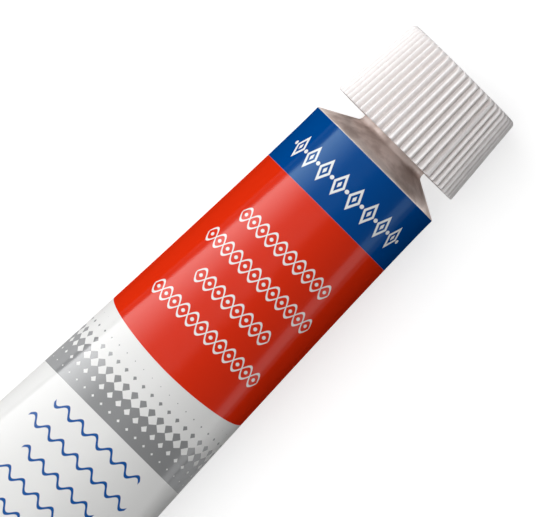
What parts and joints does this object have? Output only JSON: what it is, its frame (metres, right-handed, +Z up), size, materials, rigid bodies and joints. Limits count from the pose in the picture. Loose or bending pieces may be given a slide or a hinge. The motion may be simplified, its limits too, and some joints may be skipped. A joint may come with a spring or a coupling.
{
  "type": "paint tube",
  "caption": "Collapsible aluminium paint tube with a ribbed screw cap, round at the shoulder and pressed flat and folded at the tail.",
  "frame": {"origin": "middle of the footprint, on the surface the tube lies on", "axes": "+X along the tube's axis towards the cap, -X towards the folded tail, +Z up with the printed front up; the axis is 8 mm above the surface"},
  "size_m": [0.0972, 0.025, 0.016],
  "materials": {
    "enamelled_tube": "printed gloss enamel on the wall, bare satin metal on the shoulder and neck",
    "sealing_compound": "dull",
    "paint": "wet paste",
    "cap_plastic": "satin moulded",
    "liner_foam": "matt foam"
  },
  "bodies": {
    "tube": {"tube_body": "enamelled_tube", "tail_seal": "sealing_compound", "paint": "paint"},
    "liner": {"cap_liner": "liner_foam"},
    "cap": {"screw_cap": "cap_plastic"}
  },
  "joints": [
    {"name": "cap_lift", "type": "slide", "parent": "tube", "child": "liner", "axis": [1, 0, 0], "range_m": [0, 0.0075]},
    {"name": "cap_turn", "type": "hinge", "parent": "liner", "child": "cap", "pos_m": [0.03875, 0, 0.008], "axis": [1, 0, 0], "range_deg": [0, 2160]}
  ],
  "couplings": [
    {"joint": "cap_turn", "follows": "cap_lift", "rad_per_m": 5026.5}
  ]
}
